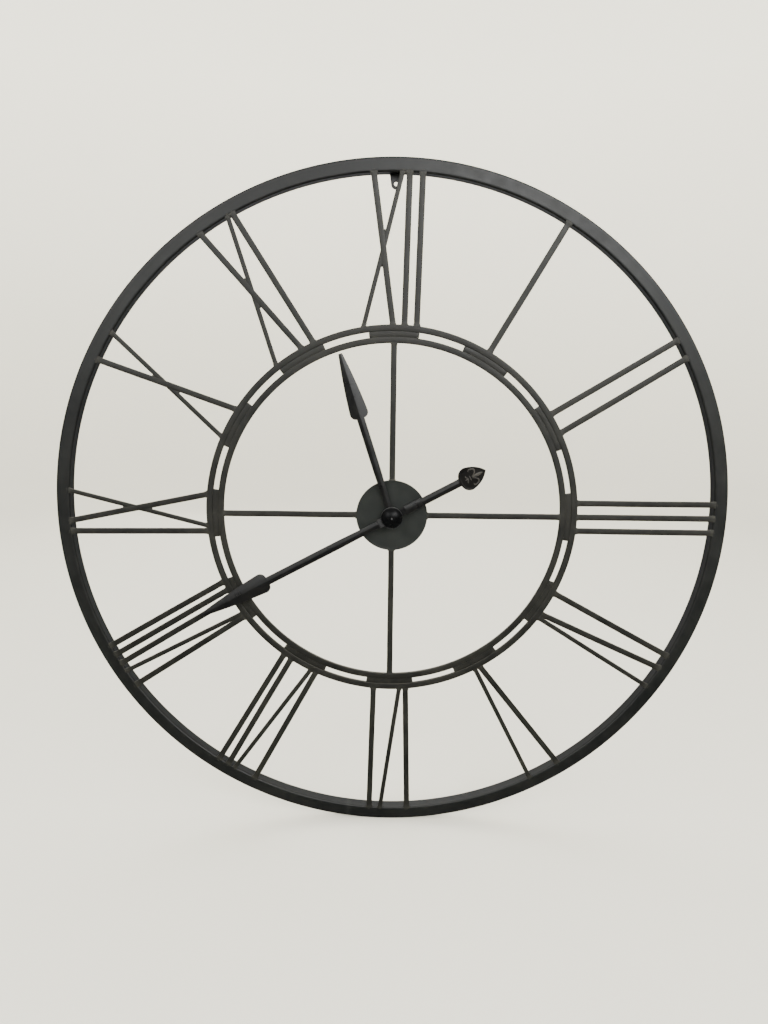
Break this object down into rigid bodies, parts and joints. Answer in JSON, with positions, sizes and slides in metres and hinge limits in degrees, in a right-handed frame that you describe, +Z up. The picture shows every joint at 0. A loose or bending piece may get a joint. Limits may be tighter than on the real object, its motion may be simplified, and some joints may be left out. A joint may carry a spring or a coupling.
{
  "type": "wall clock",
  "caption": "Large open wall clock: welded bar numerals between a rolled tube ring and a double inner hoop, spoked hub plate, battery movement, folded spade hands.",
  "frame": {"origin": "centre of the hanger hole, on the wall plane", "axes": "+Z up, -Y out of the wall towards the viewer, +X to the viewer's right"},
  "size_m": [1, 0.048, 1],
  "materials": {
    "steel_black": "satin powder coat",
    "hand_black": "satin lacquer",
    "leaf_black": "gloss lacquer over a cast relief",
    "plate_black": "satin powder coat",
    "cap_black": "gloss",
    "case_black": "fine spark-eroded texture",
    "gear_white": "moulded acetal",
    "knob_grey": "moulded",
    "arbor_brass": "turned",
    "nut_brass": "turned, dull",
    "rubber_black": "matt",
    "iron_plate": "stamped",
    "copper_wire": "enamelled copper winding",
    "bobbin_white": "moulded",
    "board_green": "solder mask",
    "chip_black": "epoxy blob",
    "can_steel": "tinned can",
    "spring_steel": "nickel-plated spring steel",
    "cell_jacket": "printed jacket without marks"
  },
  "bodies": {
    "frame": {"outer_ring": "steel_black", "outer_hoop": "steel_black", "inner_hoop": "steel_black", "hoop_spacers": "steel_black", "numeral_01": "steel_black", "numeral_02": "steel_black", "numeral_03": "steel_black", "numeral_04": "steel_black", "numeral_05": "steel_black", "numeral_06": "steel_black", "numeral_07": "steel_black", "numeral_08": "steel_black", "numeral_09": "steel_black", "numeral_10": "steel_black", "numeral_11": "steel_black", "numeral_12": "steel_black", "spoke_top": "steel_black", "spoke_left": "steel_black", "spoke_bottom": "steel_black", "spoke_right": "steel_black", "hub_plate": "plate_black", "hanger_tab": "steel_black", "movement_case": "case_black", "movement_back_cover": "case_black", "stator": "iron_plate", "coil_core": "iron_plate", "coil_bobbin": "bobbin_white", "coil_winding": "copper_wire", "circuit_board": "board_green", "clock_chip": "chip_black", "quartz_crystal": "can_steel", "battery_contact_plus": "spring_steel", "battery_contact_minus": "spring_steel", "rubber_washer": "rubber_black", "brass_washer": "nut_brass", "hub_nut": "nut_brass"},
    "minute_arm": {"minute_arbor": "arbor_brass", "minute_hand_collar": "hand_black", "minute_hand": "hand_black", "tail_sleeve": "hand_black", "tail_arm": "hand_black", "tail_leaf": "leaf_black", "cap_nut": "cap_black"},
    "hour_arm": {"hour_wheel": "gear_white", "hour_hand_collet": "hand_black", "hour_hand": "hand_black"},
    "minute_wheel": {"minute_wheel": "gear_white"},
    "setting_knob": {"setting_knob": "knob_grey"},
    "centre_wheel": {"centre_wheel": "arbor_brass"},
    "third_wheel": {"third_wheel": "gear_white"},
    "second_wheel": {"second_wheel": "gear_white"},
    "step_wheel": {"step_wheel": "gear_white"},
    "rotor": {"rotor": "iron_plate"},
    "battery_cell": {"battery_cell": "cell_jacket"}
  },
  "joints": [
    {"name": "minute_spin", "type": "hinge", "parent": "frame", "child": "minute_arm", "pos_m": [0, -0.03, -0.468], "axis": [0, 1, 0], "continuous": true},
    {"name": "hour_spin", "type": "hinge", "parent": "frame", "child": "hour_arm", "pos_m": [0, -0.028, -0.468], "axis": [0, 1, 0], "continuous": true},
    {"name": "minute_wheel_spin", "type": "hinge", "parent": "frame", "child": "minute_wheel", "pos_m": [0.01128, -0.015, -0.4639], "axis": [0, 1, 0], "continuous": true},
    {"name": "setting_knob_spin", "type": "hinge", "parent": "frame", "child": "setting_knob", "pos_m": [0.02111, -0.003, -0.47078], "axis": [0, 1, 0], "continuous": true},
    {"name": "second_wheel_spin", "type": "hinge", "parent": "frame", "child": "second_wheel", "pos_m": [-0.00805, -0.01, -0.45393], "axis": [0, 1, 0], "continuous": true},
    {"name": "centre_wheel_spin", "type": "hinge", "parent": "frame", "child": "centre_wheel", "pos_m": [0, -0.013, -0.468], "axis": [0, 1, 0], "continuous": true},
    {"name": "third_wheel_spin", "type": "hinge", "parent": "frame", "child": "third_wheel", "pos_m": [-0.00883, -0.012, -0.4629], "axis": [0, 1, 0], "continuous": true},
    {"name": "step_wheel_spin", "type": "hinge", "parent": "frame", "child": "step_wheel", "pos_m": [0.00067, -0.0085, -0.45317], "axis": [0, 1, 0], "continuous": true},
    {"name": "rotor_spin", "type": "hinge", "parent": "frame", "child": "rotor", "pos_m": [0.00805, -0.0065, -0.45447], "axis": [0, 1, 0], "continuous": true},
    {"name": "battery_slide", "type": "slide", "parent": "frame", "child": "battery_cell", "axis": [0, 1, 0], "range_m": [0, 0.02]}
  ],
  "couplings": [
    {"joint": "hour_spin", "follows": "minute_spin", "ratio": 0.083333},
    {"joint": "minute_wheel_spin", "follows": "minute_spin", "ratio": -0.33333},
    {"joint": "setting_knob_spin", "follows": "minute_spin", "ratio": 1},
    {"joint": "centre_wheel_spin", "follows": "minute_spin", "ratio": 1},
    {"joint": "third_wheel_spin", "follows": "minute_spin", "ratio": -7.5},
    {"joint": "second_wheel_spin", "follows": "minute_spin", "ratio": 60},
    {"joint": "step_wheel_spin", "follows": "minute_spin", "ratio": -360},
    {"joint": "rotor_spin", "follows": "minute_spin", "ratio": 1800}
  ]
}
